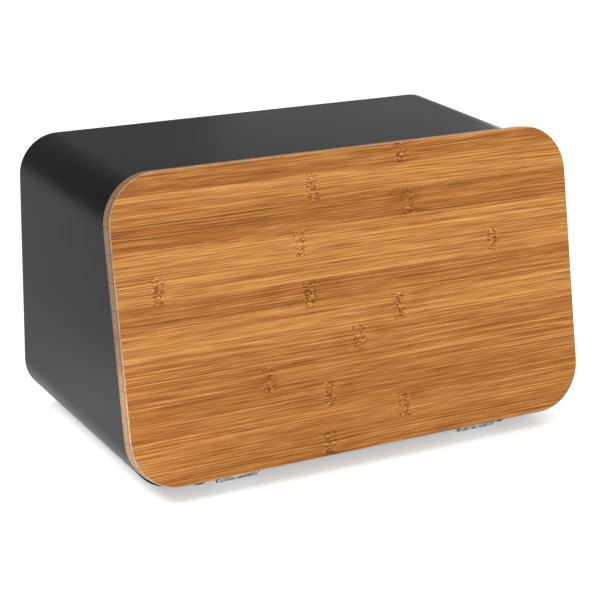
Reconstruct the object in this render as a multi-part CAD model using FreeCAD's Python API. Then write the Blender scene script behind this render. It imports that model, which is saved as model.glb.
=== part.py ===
import FreeCAD, Part
import math
import os

os.makedirs("parts", exist_ok=True)
V = FreeCAD.Vector
X_AXIS = V(1, 0, 0)
Z_AXIS = V(0, 0, 1)

# Lengths in mm, angles in degrees. The front looks along -Y, +Z is up, and the feet stand on z = 0.
DEPTH = 203.2                 # front arris of the door to the rear edge of the wrap
DOOR_WIDTH = 360.0
DOOR_LENGTH = 209.0           # up the slope
DOOR_CORNER = 34.5
DOOR_TILT = 12.5              # the top leans back
DOOR_FOOT_Z = 11.6            # height of the door's lower front arris
FACE_PLY = 2.2
CORE_PLY = 6.8
BACK_PLY = 2.4
ARRIS_ROUND = 1.3
DOOR_GAP = 0.3                # closed door to the mouth of the box

BODY_WIDTH = 354.0
BODY_HEIGHT = 196.8
BODY_CORNER = 28.3
BODY_BOTTOM = 8.4
SHEET = 0.8                   # steel thickness
NEST_GAP = 0.1                # between one curved sheet and the next inside it

LIP_WIDTH = 9.2               # folded lip round the mouth
SKIRT_DEPTH = 11.0
BACK_RECESS = 1.0
BACK_FLANGE = 6.0
VENT_RADIUS = 2.0
VENT_PITCH = 10.0
VENT_GROUP_X = 85.0
VENT_Z = 150.0

HINGE_MIDDLES = {"left": -103.0, "right": 91.0}
HINGE_LENGTH = 30.0
KNUCKLES = 5
KNUCKLE_GAP = 0.5
LEAF = 0.75
BARREL_RADIUS = 1.75
PIN_RADIUS = 0.9
PIN_PLAY = 0.05
PIN_PROUD = 0.3
AXIS_BEHIND_FACE = 7.0
AXIS_BELOW_EDGE = BARREL_RADIUS + DOOR_GAP
LEAF_SLOT = BARREL_RADIUS + DOOR_GAP
DOOR_LEAF_INSET = 1.0         # front edge of the door leaf behind the door's face
BODY_LEAF_REACH = 14.6        # from the hinge axis, under the floor
HINGE_SCREW_X = 9.0           # either side of the hinge's middle

WOOD_SCREW_RADIUS = 1.0
WOOD_SCREW_HEAD = 1.75
WOOD_SCREW_LENGTH = 10.0
WOOD_SCREW_BEHIND_FACE = 3.4
SCREW_CLEARANCE = 0.05
FLOOR_SCREW_RADIUS = 1.5
FLOOR_SCREW_LENGTH = 6.0
FLOOR_SCREW_FROM_AXIS = 11.8
PAN_HEAD_RADIUS = 2.75
PAN_HEAD_HEIGHT = 1.8
DRIVE_DEPTH = 0.9
NUT_FLATS = 5.5
NUT_HEIGHT = 2.4

MAGNET_RADIUS = 4.0
MAGNET_X = 110.0
MAGNET_UP_DOOR = 195.3

FOOT_X = 123.0
FOOT_RADIUS = 8.0
FOOT_TOP_RADIUS = 7.2
FOOT_ROUND = 1.0
FOOT_STEM_RADIUS = 3.1
FOOT_PLUG_RADIUS = 4.4
FOOT_PLUG_HEIGHT = 2.6
FOOT_HOLE_CLEARANCE = 0.1
FOOT_FROM_FRONT = 28.0
FOOT_FROM_BACK = 26.0

# Values worked out from the dimensions above
SLOPE = math.radians(DOOR_TILT)
DOOR_THICKNESS = FACE_PLY + CORE_PLY + BACK_PLY
ROUNDED_OFF = ARRIS_ROUND * (math.cos(SLOPE) + math.sin(SLOPE) - 1)
FRONT_Y = -DEPTH / 2 - ROUNDED_OFF / 2
BACK_Y = FRONT_Y + DEPTH
BODY_TOP = BODY_BOTTOM + BODY_HEIGHT
MOUTH_BEHIND_FACE = DOOR_THICKNESS + DOOR_GAP
FAR = 400.0                   # longer than the whole object
SIDES = {"left": -1, "right": 1}


def on_door(shape):
    """Lay a shape made upright, with its front face at y = 0, on the leaning door."""
    shape.rotate(V(0, 0, 0), X_AXIS, -DOOR_TILT)
    shape.translate(V(0, FRONT_Y, DOOR_FOOT_Z))
    return shape


def door_point(x, behind_face, up_door):
    """The place of a point of the upright door once it leans."""
    y = FRONT_Y + behind_face * math.cos(SLOPE) + up_door * math.sin(SLOPE)
    z = DOOR_FOOT_Z - behind_face * math.sin(SLOPE) + up_door * math.cos(SLOPE)
    return V(x, y, z)


AXIS = door_point(0, AXIS_BEHIND_FACE, -AXIS_BELOW_EDGE)
FLOOR_SCREW_Y = AXIS.y + FLOOR_SCREW_FROM_AXIS


def rounded_block(width, low, high, radius, y_front, y_back):
    """A block with four rounded corners, seen from the front, running from y_front to y_back."""
    half = width / 2
    corners = ((half - radius, high - radius, 0), (radius - half, high - radius, 90),
               (radius - half, low + radius, 180), (half - radius, low + radius, 270))
    edges = []
    ends = []
    for centre_x, centre_z, start in corners:
        points = []
        for angle in (start, start + 45, start + 90):
            turn = math.radians(angle)
            points.append(V(centre_x + radius * math.cos(turn), y_front, centre_z + radius * math.sin(turn)))
        edges.append(Part.Arc(*points).toShape())
        ends.append((points[0], points[2]))
    for index, (_, finish) in enumerate(ends):
        begin = ends[(index + 1) % 4][0]
        edges.append(Part.LineSegment(finish, begin).toShape())
    wire = Part.Wire(Part.__sortEdges__(edges))
    return Part.Face(wire).extrude(V(0, y_back - y_front, 0))


def rounded_tube(inset, wall, y_front, y_back):
    """A tube that follows the body's outline, inset from it, with a given wall."""
    outer = rounded_block(BODY_WIDTH - 2 * inset, BODY_BOTTOM + inset, BODY_TOP - inset,
                          BODY_CORNER - inset, y_front, y_back)
    within = inset + wall
    inner = rounded_block(BODY_WIDTH - 2 * within, BODY_BOTTOM + within, BODY_TOP - within,
                          BODY_CORNER - within, y_front - 1, y_back + 1)
    return outer.cut(inner)


def door_slab(behind_face, thickness):
    """A large leaning slab parallel to the door."""
    return on_door(Part.makeBox(2 * FAR, thickness, 2 * FAR, V(-FAR, behind_face, -FAR)))


def edges_on_plane(shape, y):
    """The edges of an upright shape that lie flat in one plane of constant y."""
    found = []
    for edge in shape.Edges:
        box = edge.BoundBox
        if abs(box.YMin - y) < 1e-4 and abs(box.YMax - y) < 1e-4:
            found.append(edge)
    return found


def foot_places():
    """The four feet: name and place on the floor."""
    front = FRONT_Y + FOOT_FROM_FRONT
    rear = BACK_Y - FOOT_FROM_BACK
    places = {}
    for side, sign in SIDES.items():
        places["foot_front_" + side] = V(sign * FOOT_X, front, 0)
        places["foot_rear_" + side] = V(sign * FOOT_X, rear, 0)
    return places


def hinge_screw_places(side):
    """The x of the two screws of one hinge."""
    middle = HINGE_MIDDLES[side]
    return middle - HINGE_SCREW_X, middle + HINGE_SCREW_X


def floor_screw_holes(side):
    """Two upright cylinders that make room for the floor screws of one hinge."""
    low = BODY_BOTTOM - 2 * LEAF
    radius = FLOOR_SCREW_RADIUS + SCREW_CLEARANCE
    return [Part.makeCylinder(radius, FLOOR_SCREW_LENGTH, V(x, FLOOR_SCREW_Y, low), Z_AXIS)
            for x in hinge_screw_places(side)]


def body_shell():
    """The bent sheet that makes the floor, sides and roof, cut to the door's slope in front."""
    shell = rounded_tube(0, SHEET, -FAR, BACK_Y)
    shell = shell.cut(door_slab(MOUTH_BEHIND_FACE - FAR, FAR))
    for place in foot_places().values():
        hole = FOOT_STEM_RADIUS + FOOT_HOLE_CLEARANCE
        shell = shell.cut(Part.makeCylinder(hole, 3 * SHEET, V(place.x, place.y, BODY_BOTTOM - SHEET), Z_AXIS))
    for side in SIDES:
        for hole in floor_screw_holes(side):
            shell = shell.cut(hole)
    return shell


def front_frame():
    """The lip round the mouth and its skirt inside the wrap."""
    inset = SHEET + NEST_GAP
    lip = rounded_tube(inset, LIP_WIDTH, -FAR / 2, FAR / 2).common(door_slab(MOUTH_BEHIND_FACE, SHEET))
    skirt = rounded_tube(inset, SHEET, -FAR / 2, FAR / 2).common(door_slab(MOUTH_BEHIND_FACE, SKIRT_DEPTH))
    frame = lip.fuse(skirt).removeSplitter()
    for side in SIDES:
        for hole in floor_screw_holes(side):
            frame = frame.cut(hole)
    return frame


def back_panel():
    """The tray-shaped rear wall with two groups of vent holes."""
    inset = SHEET + NEST_GAP
    rear = BACK_Y - BACK_RECESS
    plate = rounded_block(BODY_WIDTH - 2 * inset, BODY_BOTTOM + inset, BODY_TOP - inset,
                          BODY_CORNER - inset, rear - SHEET, rear)
    flange = rounded_tube(inset, SHEET, rear - BACK_FLANGE, rear)
    panel = plate.fuse(flange).removeSplitter()
    for sign in SIDES.values():
        for column in (-1, 0, 1):
            for row in (-1, 0, 1):
                start = V(sign * VENT_GROUP_X + column * VENT_PITCH, rear - 2 * SHEET, VENT_Z + row * VENT_PITCH)
                panel = panel.cut(Part.makeCylinder(VENT_RADIUS, 3 * SHEET, start, V(0, 1, 0)))
    return panel


def door_ply(front, thickness):
    """One upright layer of the door."""
    return rounded_block(DOOR_WIDTH, 0, DOOR_LENGTH, DOOR_CORNER, front, front + thickness)


def door_face_ply():
    """The show layer, its front arris rounded."""
    ply = door_ply(0, FACE_PLY)
    return on_door(ply.makeFillet(ARRIS_ROUND, edges_on_plane(ply, 0)))


def door_core_ply():
    """The middle layer, with pilot holes for the hinge screws in its lower edge."""
    ply = door_ply(FACE_PLY, CORE_PLY)
    for side in SIDES:
        for x in hinge_screw_places(side):
            ply = ply.cut(wood_screw(x, SCREW_CLEARANCE))
    return on_door(ply)


def door_back_ply():
    """The inner layer, its rear arris rounded, with a pocket for each magnet."""
    front = FACE_PLY + CORE_PLY
    ply = door_ply(front, BACK_PLY)
    ply = ply.makeFillet(ARRIS_ROUND, edges_on_plane(ply, DOOR_THICKNESS))
    for sign in SIDES.values():
        start = V(sign * MAGNET_X, front - 1, MAGNET_UP_DOOR)
        ply = ply.cut(Part.makeCylinder(MAGNET_RADIUS + SCREW_CLEARANCE, BACK_PLY + 2, start, V(0, 1, 0)))
    return on_door(ply)


def door_magnet(side):
    """A disc magnet, flush with the door's inner face."""
    start = V(SIDES[side] * MAGNET_X, FACE_PLY + CORE_PLY, MAGNET_UP_DOOR)
    disc = Part.makeCylinder(MAGNET_RADIUS, BACK_PLY, start, V(0, 1, 0))
    return on_door(disc.makeChamfer(0.3, edges_on_plane(disc, DOOR_THICKNESS)))


def cross_slot(x, y, z, length, width, depth, up):
    """A cross-shaped driver recess, cut into a screw head whose top faces along up (+1 or -1)."""
    low = z if up < 0 else z - depth
    first = Part.makeBox(length, width, depth, V(x - length / 2, y - width / 2, low))
    second = Part.makeBox(width, length, depth, V(x - width / 2, y - length / 2, low))
    return first.fuse(second)


def wood_screw(x, grow):
    """A countersunk screw up into the upright door's lower edge, grown to make its own hole."""
    y = WOOD_SCREW_BEHIND_FACE
    slant = WOOD_SCREW_HEAD - WOOD_SCREW_RADIUS
    head = Part.makeCone(WOOD_SCREW_HEAD + grow, WOOD_SCREW_RADIUS + grow, slant, V(x, y, -LEAF), Z_AXIS)
    shank_length = WOOD_SCREW_LENGTH - 2 * WOOD_SCREW_RADIUS + grow
    shank = Part.makeCylinder(WOOD_SCREW_RADIUS + grow, shank_length, V(x, y, -LEAF), Z_AXIS)
    tip_z = shank_length - LEAF
    tip = Part.makeCone(WOOD_SCREW_RADIUS + grow, 0.2 + grow, 2 * WOOD_SCREW_RADIUS, V(x, y, tip_z), Z_AXIS)
    return head.fuse([shank, tip]).removeSplitter()


def hinge_door_screws(side):
    """The two wood screws of one hinge."""
    screws = []
    for x in hinge_screw_places(side):
        recess = cross_slot(x, WOOD_SCREW_BEHIND_FACE, -LEAF, 1.8, 0.4, 0.4, -1)
        screws.append(on_door(wood_screw(x, 0).cut(recess)))
    return Part.makeCompound(screws)


def knuckle(side, index, bore):
    """One rolled knuckle of a hinge barrel, with its bore."""
    pitch = HINGE_LENGTH / KNUCKLES
    start_x = HINGE_MIDDLES[side] - HINGE_LENGTH / 2 + index * pitch
    low = start_x + (KNUCKLE_GAP / 2 if index > 0 else 0)
    high = start_x + pitch - (KNUCKLE_GAP / 2 if index < KNUCKLES - 1 else 0)
    start = V(low, AXIS.y, AXIS.z)
    roll = Part.makeCylinder(BARREL_RADIUS, high - low, start, X_AXIS)
    hole = Part.makeCylinder(bore, HINGE_LENGTH, V(low - 1, AXIS.y, AXIS.z), X_AXIS)
    return roll, hole


def knuckle_slot(side, index):
    """The room that one knuckle needs in the other leaf."""
    pitch = HINGE_LENGTH / KNUCKLES
    start_x = HINGE_MIDDLES[side] - HINGE_LENGTH / 2 + index * pitch - KNUCKLE_GAP / 2
    start = V(start_x, AXIS.y, AXIS.z)
    return Part.makeCylinder(LEAF_SLOT, pitch + KNUCKLE_GAP, start, X_AXIS)


def hinge_body_leaf(side):
    """The leaf under the floor, with the first, third and last knuckles."""
    left = HINGE_MIDDLES[side] - HINGE_LENGTH / 2
    leaf = Part.makeBox(HINGE_LENGTH, BODY_LEAF_REACH, LEAF, V(left, AXIS.y, BODY_BOTTOM - LEAF))
    for index in range(1, KNUCKLES, 2):
        leaf = leaf.cut(knuckle_slot(side, index))
    holes = []
    for index in range(0, KNUCKLES, 2):
        roll, hole = knuckle(side, index, PIN_RADIUS)
        leaf = leaf.fuse(roll)
        holes.append(hole)
    leaf = leaf.removeSplitter()
    for hole in holes:
        leaf = leaf.cut(hole)
    for hole in floor_screw_holes(side):
        leaf = leaf.cut(hole)
    return leaf


def hinge_door_leaf(side):
    """The leaf on the door's lower edge, with the second and fourth knuckles."""
    left = HINGE_MIDDLES[side] - HINGE_LENGTH / 2
    reach = AXIS_BEHIND_FACE - DOOR_LEAF_INSET
    leaf = Part.makeBox(HINGE_LENGTH, reach, LEAF, V(left, DOOR_LEAF_INSET, -LEAF))
    for x in hinge_screw_places(side):
        leaf = leaf.cut(wood_screw(x, SCREW_CLEARANCE))
    leaf = on_door(leaf)
    for index in range(0, KNUCKLES, 2):
        leaf = leaf.cut(knuckle_slot(side, index))
    holes = []
    for index in range(1, KNUCKLES, 2):
        roll, hole = knuckle(side, index, PIN_RADIUS + PIN_PLAY)
        leaf = leaf.fuse(roll)
        holes.append(hole)
    leaf = leaf.removeSplitter()
    for hole in holes:
        leaf = leaf.cut(hole)
    return leaf


def hinge_pin(side):
    """The pin through one barrel, with a small round at each end."""
    length = HINGE_LENGTH + 2 * PIN_PROUD
    start = V(HINGE_MIDDLES[side] - length / 2, AXIS.y, AXIS.z)
    pin = Part.makeCylinder(PIN_RADIUS, length, start, X_AXIS)
    rims = [edge for edge in pin.Edges if edge.BoundBox.XLength < 1e-4]
    return pin.makeFillet(0.25, rims)


def hinge_floor_screws(side):
    """The two pan-head screws of one hinge, up through the leaf and the floor."""
    screws = []
    under_leaf = BODY_BOTTOM - LEAF
    for x in hinge_screw_places(side):
        low = V(x, FLOOR_SCREW_Y, under_leaf - PAN_HEAD_HEIGHT)
        head = Part.makeCylinder(PAN_HEAD_RADIUS, PAN_HEAD_HEIGHT, low, Z_AXIS)
        rims = [edge for edge in head.Edges if edge.BoundBox.ZMax < low.z + 1e-4]
        head = head.makeFillet(0.8, rims)
        shank = Part.makeCylinder(FLOOR_SCREW_RADIUS, FLOOR_SCREW_LENGTH + 1, V(x, low.y, under_leaf - 1), Z_AXIS)
        screw = head.fuse(shank).removeSplitter()
        screws.append(screw.cut(cross_slot(x, low.y, low.z, 3.2, 0.7, DRIVE_DEPTH, -1)))
    return Part.makeCompound(screws)


def hinge_floor_nuts(side):
    """The two hexagon nuts of one hinge, standing on the skirt inside the box."""
    nuts = []
    seat = BODY_BOTTOM + 2 * SHEET + NEST_GAP
    for x in hinge_screw_places(side):
        points = []
        for corner in range(7):
            turn = math.radians(60 * corner)
            across = NUT_FLATS / math.sqrt(3)
            points.append(V(x + across * math.cos(turn), FLOOR_SCREW_Y + across * math.sin(turn), seat))
        nut = Part.Face(Part.makePolygon(points)).extrude(V(0, 0, NUT_HEIGHT))
        hole = Part.makeCylinder(FLOOR_SCREW_RADIUS + SCREW_CLEARANCE, 3 * NUT_HEIGHT,
                                 V(x, FLOOR_SCREW_Y, BODY_BOTTOM - NUT_HEIGHT), Z_AXIS)
        nuts.append(nut.cut(hole))
    return Part.makeCompound(nuts)


def foot(place):
    """A push-in rubber foot: tapered pad below, stem through the floor, plug above it."""
    pad = Part.makeCone(FOOT_RADIUS, FOOT_TOP_RADIUS, BODY_BOTTOM, place, Z_AXIS)
    rims = [edge for edge in pad.Edges if edge.BoundBox.ZMax < 1e-4]
    pad = pad.makeFillet(FOOT_ROUND, rims)
    stem = Part.makeCylinder(FOOT_STEM_RADIUS, SHEET + 1, place + V(0, 0, BODY_BOTTOM - 0.5), Z_AXIS)
    plug = Part.makeCone(FOOT_PLUG_RADIUS, FOOT_STEM_RADIUS - 0.6, FOOT_PLUG_HEIGHT,
                         place + V(0, 0, BODY_BOTTOM + SHEET), Z_AXIS)
    return pad.fuse([stem, plug]).removeSplitter()


def all_nodes():
    """Every sub-part by its name."""
    nodes = {
        "body_shell": body_shell(),
        "front_frame": front_frame(),
        "back_panel": back_panel(),
        "door_face_ply": door_face_ply(),
        "door_core_ply": door_core_ply(),
        "door_back_ply": door_back_ply(),
    }
    for side in SIDES:
        nodes["door_magnet_" + side] = door_magnet(side)
        nodes["hinge_body_leaf_" + side] = hinge_body_leaf(side)
        nodes["hinge_door_leaf_" + side] = hinge_door_leaf(side)
        nodes["hinge_pin_" + side] = hinge_pin(side)
        nodes["hinge_door_screws_" + side] = hinge_door_screws(side)
        nodes["hinge_floor_screws_" + side] = hinge_floor_screws(side)
        nodes["hinge_floor_nuts_" + side] = hinge_floor_nuts(side)
    for name, place in foot_places().items():
        nodes[name] = foot(place)
    return nodes


for node_name, node_shape in all_nodes().items():
    solids = len(node_shape.Solids)
    print(node_name, "solids", solids, "valid", node_shape.isValid(), "volume", round(node_shape.Volume, 1))
    node_shape.exportStep("parts/" + node_name + ".step")
print("hinge axis", round(AXIS.y, 4), round(AXIS.z, 4), "front", round(FRONT_Y, 4), "back", round(BACK_Y, 4))
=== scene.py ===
import math
import random

import bpy
from mathutils import Matrix, Vector


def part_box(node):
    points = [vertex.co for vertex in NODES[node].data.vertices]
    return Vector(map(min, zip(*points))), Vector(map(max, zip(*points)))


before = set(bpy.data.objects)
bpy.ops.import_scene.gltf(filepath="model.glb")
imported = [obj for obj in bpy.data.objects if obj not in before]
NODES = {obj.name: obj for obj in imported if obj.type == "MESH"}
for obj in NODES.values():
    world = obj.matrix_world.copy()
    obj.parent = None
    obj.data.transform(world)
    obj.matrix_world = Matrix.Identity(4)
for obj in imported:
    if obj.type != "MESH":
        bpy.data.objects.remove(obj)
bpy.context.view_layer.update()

MM = 0.001
SIDES = ("left", "right")

# The leaning door. Its own coordinates, in mm: x along it, u up its face from the lower arris and
# w back into it.
DOOR_TILT = math.radians(12.5)
DOOR_LENGTH = 209.0
FACE_PLY = 2.2
DOOR_THICKNESS = 11.4
DOOR_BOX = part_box("door_face_ply")
DOOR_Y = DOOR_BOX[1].y / MM - DOOR_LENGTH * math.sin(DOOR_TILT) - FACE_PLY * math.cos(DOOR_TILT)
DOOR_Z = DOOR_BOX[0].z / MM + FACE_PLY * math.sin(DOOR_TILT)

# Bamboo strips from the lower edge up: tone from 0 dark to 1 light, and where their knuckles lie
# along x, in mm.
STRIPS = (
    (0.530, (-33,)),
    (0.585, (29,)),
    (0.520, (-30,)),
    (0.590, (-75,)),
    (0.600, (-4,)),
    (0.690, (30,)),
    (0.555, (-39,)),
    (0.700, (113, -150)),
    (0.690, (-43,)),
    (0.475, (44,)),
    (0.660, (-30,)),
    (0.535, (41,)),
)
STRIP_WIDTH = 17.15           # of the lowest strip, all but STRIP_GROWTH, in mm
STRIP_GROWTH = 0.05           # each next one is twice this wider
GLUE_LINE = (0.035, 0.010)    # strip widths from a strip's edge where a glue line has gone and is full
OFF_BOARD = 400               # an x past the ends of the board, in mm: the place of a missing knuckle

# Colour of the lacquered face at each tone
FACE_COLOURS = (
    (0.00, (0.120, 0.028, 0.004)),
    (0.25, (0.218, 0.062, 0.008)),
    (0.50, (0.350, 0.127, 0.023)),
    (0.75, (0.520, 0.232, 0.058)),
    (1.00, (0.660, 0.345, 0.105)),
)

# Streaks along the fibres: length and width in mm, noise detail and roughness, and how far they
# move the tone
STREAKS = {
    "broad": (190, 5.0, 1.0, 0.5, 0.07),
    "middle": (130, 2.0, 1.0, 0.5, 0.07),
    "threads": (260, 0.80, 0.0, 0.5, 0.30),
    "fine": (70, 0.92, 0.0, 0.5, 0.24),
    "hair": (26, 0.72, 1.0, 0.6, 0.38),
}
STREAK_LAYERS = (3.0, 9.0, 13.0, 17.0, 23.0)    # slices of the noise, apart so that none are alike
VEIN_LAYER = 29.0
VEIN_SIZE = (150, 1.0)

# Distances from a knuckle, in mm: where a feature has gone, and where it is full
KNUCKLE_COLUMN = (5.4, 3.0)
KNUCKLE_RIPPLE = (15.0, 3.0)
KNUCKLE_HALO = (40.0, 4.0)

# How far each mark moves the tone
VEIN_TONE = -0.09
COLUMN_TONE = -0.05
DARK_MARK_TONE = -0.40
PALE_MARK_TONE = 0.32
HALO_TONE = -0.13
GLUE_TONE = -0.05

# The sawn edge of the outer layers: its tone, the share of the strip's own tone added to it, and
# the painted highlight that the rounded arris adds
SAWN_TONE = 0.30
SAWN_SHARE = 0.25
# Painted highlight: a paler tone on the rounded arris, full up to 0.75 mm behind the face and gone by
# 1.25 mm
ARRIS_PAINTED_HIGHLIGHT = 0.34
ARRIS_HIGHLIGHT_DEPTH = (1.25, 0.75)    # mm behind the face
SAWN_DEPTH = (0.05, 0.45)     # mm behind the face: where the face ends, and where the sawn edge is full
CORE_TONE = 0.50
SEAM_COLOUR = (0.19, 0.085, 0.040)
ROSY = (0.44, 0.17, 0.035)    # the hue that some strips lean to
ROSY_SHARE = 0.10             # at most

RIM_ROUND = 0.2               # on the rims of the bent sheets, in mm
RIM_ANGLE = 50                # degrees: edges that turn by more than this are rounded
FLOOR_HALF = 10.0             # half the floor's side, in metres
FLOOR_GLOW = 0.40
ROOM_STRENGTH = 0.46

# Soft rectangular lights: name, place and point faced in metres, sides in metres, power in watts
LIGHTS = (
    ("overhead", (0, 0.6, 2.6), (0, 0.6, 0), (3.2, 3.2), 36),
    ("front", (0.3, -2.2, 0.7), (0, 0, 0.1), (1.6, 1.2), 21.5),
    ("behind_roof", (0.3, 0.4, 0.3), (0.1, 0.05, 0.2), (0.3, 0.15), 0.05),
    ("right_rim", (0.45, 0.2, 0.3), (0.15, 0, 0.21), (0.2, 0.2), 0.8),
    ("left_skim", (-0.24, 0, 0.1), (-0.24, 0, 0), (0.05, 0.25), 0.22),
)

# Camera, in metres and degrees
CAMERA_AT = Vector((-0.6288, -1.0986, 0.5329))
CAMERA_YAW = math.radians(29.676)
CAMERA_PITCH = math.radians(19.369)
CAMERA_ROLL = math.radians(1.41)
CAMERA_LENS = 110.63
SENSOR = 36.0


class Tree:
    """A material's node tree, with short calls for the nodes used here."""

    def __init__(self, name):
        self.material = bpy.data.materials.new(name)
        self.material.use_nodes = True
        self.nodes = self.material.node_tree.nodes
        self.links = self.material.node_tree.links
        self.shader = self.nodes["Principled BSDF"]

    def link(self, value, socket):
        """Feed a socket from another socket, a number or a vector."""
        if isinstance(value, bpy.types.NodeSocket):
            self.links.new(value, socket)
        else:
            socket.default_value = value

    def math(self, operation, a, b=0.0):
        node = self.nodes.new("ShaderNodeMath")
        node.operation = operation
        self.link(a, node.inputs[0])
        self.link(b, node.inputs[1])
        return node.outputs[0]

    def add(self, *values):
        total = values[0]
        for value in values[1:]:
            total = self.math("ADD", total, value)
        return total

    def scaled(self, value, factor):
        return self.math("MULTIPLY", value, factor)

    def swing(self, value, amount):
        """A 0 to 1 value turned into one from -amount to amount."""
        return self.scaled(self.math("SUBTRACT", value, 0.5), 2 * amount)

    def split(self, colour):
        """The three channels of a colour."""
        node = self.nodes.new("ShaderNodeSeparateColor")
        self.link(colour, node.inputs[0])
        return node.outputs

    def combine(self, x, y, z):
        node = self.nodes.new("ShaderNodeCombineXYZ")
        for value, socket in zip((x, y, z), node.inputs):
            self.link(value, socket)
        return node.outputs[0]

    def separate(self, vector):
        node = self.nodes.new("ShaderNodeSeparateXYZ")
        self.link(vector, node.inputs[0])
        return node.outputs

    def place(self, turn=0.0, shift=(0.0, 0.0, 0.0)):
        """Object coordinates in mm, turned about x and shifted."""
        coordinates = self.nodes.new("ShaderNodeTexCoord")
        mapping = self.nodes.new("ShaderNodeMapping")
        mapping.inputs["Scale"].default_value = (1 / MM,) * 3
        mapping.inputs["Rotation"].default_value = (turn, 0, 0)
        mapping.inputs["Location"].default_value = shift
        self.links.new(coordinates.outputs["Object"], mapping.inputs["Vector"])
        return mapping.outputs[0]

    def noise(self, vector, scale=1.0, detail=2.0, roughness=0.5, distortion=0.0):
        node = self.nodes.new("ShaderNodeTexNoise")
        self.link(vector, node.inputs["Vector"])
        node.inputs["Scale"].default_value = scale
        node.inputs["Detail"].default_value = detail
        node.inputs["Roughness"].default_value = roughness
        node.inputs["Distortion"].default_value = distortion
        return node.outputs["Fac"]

    def ramp(self, value, stops, interpolation="LINEAR"):
        """A ramp of (position, colour) stops; a single number stands for a grey."""
        node = self.nodes.new("ShaderNodeValToRGB")
        ramp = node.color_ramp
        ramp.interpolation = interpolation
        while len(ramp.elements) < len(stops):
            ramp.elements.new(1.0)
        for element, (position, colour) in zip(ramp.elements, stops):
            element.position = position
            element.color = (*colour, 1.0) if isinstance(colour, tuple) else (colour,) * 3 + (1.0,)
        self.link(value, node.inputs[0])
        return node.outputs[0]

    def band(self, value, low, high):
        """0 below low, 1 above high, smooth between; low may be the larger one."""
        node = self.nodes.new("ShaderNodeMapRange")
        node.interpolation_type = "SMOOTHSTEP"
        node.inputs["From Min"].default_value = min(low, high)
        node.inputs["From Max"].default_value = max(low, high)
        node.inputs["To Min"].default_value = 0.0 if low < high else 1.0
        node.inputs["To Max"].default_value = 1.0 if low < high else 0.0
        self.link(value, node.inputs["Value"])
        return node.outputs[0]

    def mix(self, factor, a, b):
        """Colour a where the factor is 0, b where it is 1."""
        node = self.nodes.new("ShaderNodeMix")
        node.data_type = "RGBA"
        self.link(factor, node.inputs["Factor"])
        for value, socket in ((a, node.inputs["A"]), (b, node.inputs["B"])):
            self.link((*value, 1.0) if isinstance(value, tuple) else value, socket)
        return node.outputs["Result"]

    def bump(self, height, strength, distance):
        node = self.nodes.new("ShaderNodeBump")
        node.inputs["Strength"].default_value = strength
        node.inputs["Distance"].default_value = distance
        self.link(height, node.inputs["Height"])
        self.links.new(node.outputs[0], self.shader.inputs["Normal"])

    def finish(self, colour, roughness, metallic=0.0, specular=0.5):
        self.link(colour, self.shader.inputs["Base Color"])
        self.link(roughness, self.shader.inputs["Roughness"])
        self.shader.inputs["Metallic"].default_value = metallic
        self.shader.inputs["Specular IOR Level"].default_value = specular
        return self.material


def door_place(tree):
    """x, w and u of the door, in mm."""
    cosine = math.cos(DOOR_TILT)
    sine = math.sin(DOOR_TILT)
    back = DOOR_Y * cosine - DOOR_Z * sine
    up = DOOR_Y * sine + DOOR_Z * cosine
    return tree.separate(tree.place(DOOR_TILT, (0, -back, -up)))


def strip_position(tree, u):
    """How many strips lie below a height, as a number with a fraction."""
    root = tree.math("SQRT", tree.add(tree.scaled(u, 4 * STRIP_GROWTH), STRIP_WIDTH ** 2))
    return tree.scaled(tree.math("SUBTRACT", root, STRIP_WIDTH), 1 / (2 * STRIP_GROWTH))


def strip_table(tree, count, values):
    """A value or colour for each strip."""
    stops = [(index / len(STRIPS), value) for index, value in enumerate(values)]
    return tree.ramp(tree.scaled(tree.math("ADD", count, 0.5), 1 / len(STRIPS)), stops, "CONSTANT")


def strip_lines(tree, u):
    """The number of the strip at a height, and 1 on the glue lines between strips."""
    position = strip_position(tree, u)
    within = tree.math("FRACT", position)
    nearest = tree.math("MINIMUM", within, tree.math("SUBTRACT", 1.0, within))
    return tree.math("FLOOR", position), tree.band(nearest, *GLUE_LINE)


def end_grain(tree, x, w, u, tone):
    """Brown sawn edge of bamboo: fine pores, short streaks and faint glue lines."""
    glue = strip_lines(tree, u)[1]
    stretched = tree.combine(tree.scaled(x, 1 / 9), tree.scaled(w, 1 / 0.7), tree.scaled(u, 1 / 9))
    streaks = tree.noise(stretched, detail=3.0)
    pores = tree.noise(tree.combine(x, w, u), scale=1.8, detail=2.0)
    value = tree.add(tone, tree.swing(streaks, 0.40), tree.swing(pores, 0.22), tree.scaled(glue, -0.24))
    return tree.ramp(value, (
        (0.0, (0.095, 0.040, 0.016)),
        (0.5, (0.290, 0.155, 0.078)),
        (1.0, (0.740, 0.510, 0.330)),
    ))


def knuckle_distance(tree, x, count, crook):
    """Distance in mm along x from the nearest knuckle of a strip, whose column is crooked."""
    near = None
    for order in (0, 1):
        places = [spots[order] if order < len(spots) else -OFF_BOARD for _, spots in STRIPS]
        shares = [(place + OFF_BOARD) / (2 * OFF_BOARD) for place in places]
        centre = tree.swing(strip_table(tree, count, shares), OFF_BOARD)
        distance = tree.math("ABSOLUTE", tree.add(x, tree.scaled(centre, -1.0), crook))
        near = distance if near is None else tree.math("MINIMUM", near, distance)
    return near


def strip_noise(tree, x, u, layer, length, height, **kind):
    """Noise in streaks or blotches of a length and height in mm; layer picks one of many patterns."""
    vector = tree.combine(tree.scaled(x, 1 / length), tree.scaled(u, 1 / height), layer)
    return tree.noise(vector, **kind)


def knuckle_marks(tree, x, u, layer, column):
    """Dark specks and pale specks within the column of a knuckle."""
    marks = strip_noise(tree, x, u, layer, 2.9, 1.2, detail=1.0, roughness=0.6, distortion=1.3)
    dark = tree.math("MULTIPLY", tree.band(marks, 0.50, 0.60), column)
    pale = tree.math("MULTIPLY", tree.band(marks, 0.45, 0.37), column)
    return dark, pale


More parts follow.
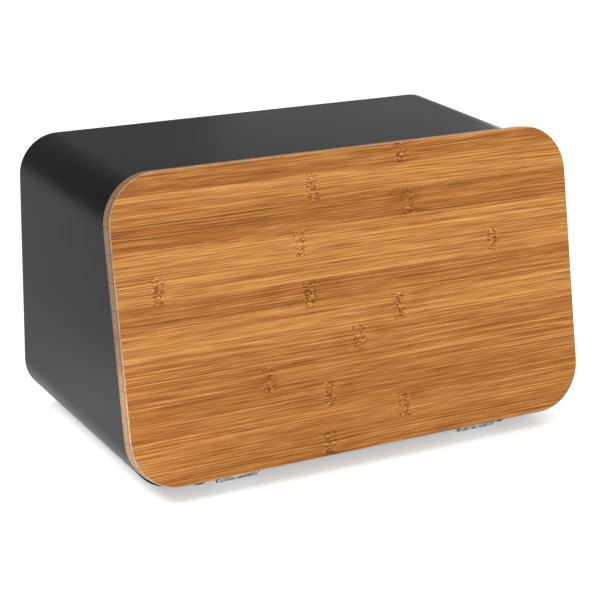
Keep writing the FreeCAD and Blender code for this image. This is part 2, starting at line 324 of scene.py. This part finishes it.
def grain(tree, x, u, strip_seed):
    """The streaks of each kind in STREAKS, and the dark veins."""
    streaks = {}
    for (kind, (length, width, detail, roughness, _)), offset in zip(STREAKS.items(), STREAK_LAYERS):
        layer = tree.add(strip_seed, offset)
        streaks[kind] = strip_noise(tree, x, u, layer, length, width, detail=detail, roughness=roughness)
    veins = strip_noise(tree, x, u, tree.add(strip_seed, VEIN_LAYER), *VEIN_SIZE, detail=0.0)
    return streaks, tree.band(veins, 0.58, 0.68)


def bamboo(name, seed, face_w, strength=1.0):
    """Edge-glued bamboo strips with fibres along x and a crooked column of marks at each knuckle.

    face_w is the w of the layer's outer face, and strength weakens or strengthens its streaks.
    """
    tree = Tree(name)
    x, w, u = door_place(tree)
    count, glue = strip_lines(tree, u)
    dice = random.Random(seed)
    tones = strip_table(tree, count, [(tone, dice.random(), dice.random()) for tone, _ in STRIPS])
    tone, lot, warmth = tree.split(tones)
    strip_seed = tree.scaled(lot, 400.0)

    jitter = tree.noise(tree.combine(strip_seed, 0.0, tree.scaled(u, 1 / 3.0)), detail=1.0)
    near = knuckle_distance(tree, x, count, tree.swing(jitter, 3.4))
    column = tree.band(near, *KNUCKLE_COLUMN)
    wide = tree.band(near, *KNUCKLE_RIPPLE)
    far = tree.band(near, *KNUCKLE_HALO)

    drift = tree.swing(strip_noise(tree, x, u, strip_seed, 150, 30), 1.6)
    ripple = tree.swing(strip_noise(tree, x, u, strip_seed, 5, 3), 1.3)
    bent = tree.add(u, drift, tree.math("MULTIPLY", ripple, wide))
    streaks, veins = grain(tree, x, bent, strip_seed)
    dark_marks, pale_marks = knuckle_marks(tree, x, u, strip_seed, column)
    patches = strip_noise(tree, x, u, strip_seed, 24, 6, detail=1.0)
    halo = tree.math("MULTIPLY", far, tree.band(patches, 0.45, 0.70))

    value = tree.add(
        tone,
        *[tree.swing(streak, STREAKS[kind][-1] * strength) for kind, streak in streaks.items()],
        tree.scaled(veins, VEIN_TONE * strength),
        tree.scaled(column, COLUMN_TONE),
        tree.scaled(dark_marks, DARK_MARK_TONE),
        tree.scaled(pale_marks, PALE_MARK_TONE),
        tree.scaled(halo, HALO_TONE),
        tree.scaled(glue, GLUE_TONE),
    )
    rosy = tree.mix(tree.scaled(warmth, ROSY_SHARE), tree.ramp(value, FACE_COLOURS), ROSY)
    depth = tree.math("ABSOLUTE", tree.add(w, -face_w))
    # Painted highlight: the band of the rounded arris gets a paler tone added to its sawn edge colour
    arris_highlight = tree.band(depth, *ARRIS_HIGHLIGHT_DEPTH)
    sawn_tone_and_highlight = tree.add(SAWN_TONE, tree.scaled(tone, SAWN_SHARE), tree.scaled(arris_highlight, ARRIS_PAINTED_HIGHLIGHT))
    shown = tree.mix(tree.band(depth, *SAWN_DEPTH), rosy, end_grain(tree, x, w, u, sawn_tone_and_highlight))
    ridges = tree.add(tree.scaled(streaks["fine"], 0.5), tree.scaled(streaks["hair"], 0.5))
    tree.bump(tree.add(ridges, tree.scaled(dark_marks, -0.5)), 0.25, 0.1 * MM)
    return tree.finish(shown, tree.add(0.46, tree.scaled(streaks["middle"], 0.16)), specular=0.12)


def bamboo_edge(name):
    """The core layer: its cut edge is a brown band with a darker line where it meets the face layer."""
    tree = Tree(name)
    x, w, u = door_place(tree)
    seam = tree.band(w, FACE_PLY + 1.6, FACE_PLY + 0.6)
    colour = tree.mix(tree.scaled(seam, 0.75), end_grain(tree, x, w, u, CORE_TONE), SEAM_COLOUR)
    pores = tree.noise(tree.combine(x, w, u), scale=1.2, detail=2.0)
    tree.bump(pores, 0.15, 0.1 * MM)
    return tree.finish(colour, tree.add(0.5, tree.scaled(pores, 0.1)), specular=0.3)


def black_paint():
    """Matte powder coat: a fine orange-peel surface with faint cloudiness."""
    tree = Tree("black_powder_coat")
    place = tree.place()
    cloud = tree.noise(place, scale=1 / 45, detail=3.0)
    peel = tree.noise(place, scale=1 / 0.6, detail=2.0)
    speck = tree.noise(place, scale=1 / 0.2, detail=1.0)
    colour = tree.ramp(tree.add(tree.scaled(cloud, 0.7), tree.scaled(speck, 0.3)), (
        (0.3, (0.0052, 0.0056, 0.0057)),
        (0.7, (0.0078, 0.0083, 0.0084)),
    ))
    height = tree.add(peel, tree.scaled(speck, 0.35))
    tree.bump(height, 0.14, 0.06 * MM)
    roughness = tree.add(0.30, tree.scaled(cloud, 0.08))
    return tree.finish(colour, roughness, specular=0.06)


def plated_metal(name, light, dark, base_roughness):
    """Plated steel with fine drawing lines, rougher duller patches, and light and dark patches in its
    colour that are a painted reflection.
    """
    tree = Tree(name)
    place = tree.place()
    x, y, z = tree.separate(place)
    drawn = tree.combine(tree.scaled(x, 1 / 6), tree.scaled(y, 1 / 0.12), tree.scaled(z, 1 / 0.12))
    lines = tree.noise(drawn, detail=2.0)
    patches = tree.noise(place, scale=1 / 2.4, detail=2.0)
    lines_and_painted_reflection = tree.add(tree.scaled(lines, 0.25), tree.scaled(patches, 0.75))
    # Painted reflection: light and dark patches in the plating colour, with the fine drawing lines
    colour = tree.ramp(lines_and_painted_reflection, ((0.40, dark), (0.62, light)))
    tree.bump(lines, 0.12, 0.04 * MM)
    roughness = tree.add(base_roughness, tree.scaled(patches, 0.16))
    return tree.finish(colour, roughness, metallic=1.0)


def rubber():
    """Matte black rubber with a fine moulded grain."""
    tree = Tree("foot_rubber")
    place = tree.place()
    grain = tree.noise(place, scale=1 / 0.35, detail=3.0)
    bloom = tree.noise(place, scale=1 / 6.0, detail=2.0)
    colour = tree.ramp(bloom, ((0.3, (0.010, 0.010, 0.010)), (0.7, (0.022, 0.022, 0.021))))
    tree.bump(grain, 0.25, 0.08 * MM)
    return tree.finish(colour, tree.add(0.62, tree.scaled(bloom, 0.14)), specular=0.35)


def paint_node(node, material):
    """Give a CAD node its material."""
    mesh = NODES[node].data
    mesh.materials.clear()
    mesh.materials.append(material)


def paint_frame():
    """Materials of every CAD node."""
    black = black_paint()
    for node in ("body_shell", "front_frame", "back_panel"):
        paint_node(node, black)
    paint_node("door_face_ply", bamboo("bamboo_front", 5, 0.0))
    paint_node("door_core_ply", bamboo_edge("bamboo_core"))
    paint_node("door_back_ply", bamboo("bamboo_inside", 8, DOOR_THICKNESS, 0.8))
    nickel = plated_metal("nickel_plate", (0.46, 0.45, 0.44), (0.12, 0.118, 0.115), 0.22)
    zinc = plated_metal("zinc_plate", (0.55, 0.55, 0.56), (0.36, 0.36, 0.37), 0.34)
    black_rubber = rubber()
    for side in SIDES:
        for part in ("hinge_body_leaf_", "hinge_door_leaf_", "hinge_pin_", "door_magnet_"):
            paint_node(part + side, nickel)
        for part in ("hinge_door_screws_", "hinge_floor_screws_", "hinge_floor_nuts_"):
            paint_node(part + side, zinc)
        for part in ("foot_front_", "foot_rear_"):
            paint_node(part + side, black_rubber)


def soften_rims():
    """A small round on the rims of the bent sheets, so that they catch the light."""
    for node in ("body_shell", "front_frame", "back_panel"):
        bevel = NODES[node].modifiers.new("rim_round", "BEVEL")
        bevel.width = RIM_ROUND * MM
        bevel.segments = 2
        bevel.limit_method = "ANGLE"
        bevel.angle_limit = math.radians(RIM_ANGLE)


def stage_floor():
    """A plain pale floor that glows a little, so that it comes out white."""
    mesh = bpy.data.meshes.new("floor")
    corners = [(x * FLOOR_HALF, y * FLOOR_HALF, 0) for x, y in ((-1, -1), (1, -1), (1, 1), (-1, 1))]
    mesh.from_pydata(corners, [], [(0, 1, 2, 3)])
    floor = bpy.data.objects.new("floor", mesh)
    bpy.context.scene.collection.objects.link(floor)
    tree = Tree("pale_floor")
    paper = tree.noise(tree.place(), scale=1 / 30, detail=3.0)
    colour = tree.ramp(paper, ((0.3, (0.93, 0.93, 0.93)), (0.7, (0.95, 0.95, 0.95))))
    tree.link(colour, tree.shader.inputs["Emission Color"])
    tree.shader.inputs["Emission Strength"].default_value = FLOOR_GLOW
    mesh.materials.append(tree.finish(colour, 0.9, specular=0.1))


def area_light(name, place, target, size, power):
    """A soft rectangular light that faces a point."""
    data = bpy.data.lights.new(name, "AREA")
    data.shape = "RECTANGLE"
    data.size = size[0]
    data.size_y = size[1]
    data.energy = power
    light = bpy.data.objects.new(name, data)
    light.location = place
    light.rotation_euler = (Vector(target) - Vector(place)).to_track_quat("-Z", "Y").to_euler()
    light.visible_camera = False
    bpy.context.scene.collection.objects.link(light)


def studio():
    """A pale room with broad lights above and in front, and small ones that shape the black paint."""
    world = bpy.data.worlds.new("pale_room")
    world.use_nodes = True
    background = world.node_tree.nodes["Background"]
    background.inputs["Color"].default_value = (1, 1, 1, 1)
    background.inputs["Strength"].default_value = ROOM_STRENGTH
    bpy.context.scene.world = world
    for light in LIGHTS:
        area_light(*light)


def camera():
    """The camera, placed by yaw, pitch and roll."""
    forward = Vector((math.sin(CAMERA_YAW) * math.cos(CAMERA_PITCH),
                      math.cos(CAMERA_YAW) * math.cos(CAMERA_PITCH), -math.sin(CAMERA_PITCH)))
    right = Vector((math.cos(CAMERA_YAW), -math.sin(CAMERA_YAW), 0))
    up = right.cross(forward)
    cosine = math.cos(CAMERA_ROLL)
    sine = math.sin(CAMERA_ROLL)
    rolled_right = cosine * right + sine * up
    rolled_up = cosine * up - sine * right
    turn = Matrix((rolled_right, rolled_up, -forward)).transposed()
    data = bpy.data.cameras.new("camera")
    data.lens = CAMERA_LENS
    data.sensor_width = SENSOR
    holder = bpy.data.objects.new("camera", data)
    holder.matrix_world = Matrix.Translation(CAMERA_AT) @ turn.to_4x4()
    bpy.context.scene.collection.objects.link(holder)
    bpy.context.scene.camera = holder


bpy.context.scene.view_settings.view_transform = "Standard"
paint_frame()
soften_rims()
stage_floor()
studio()
camera()
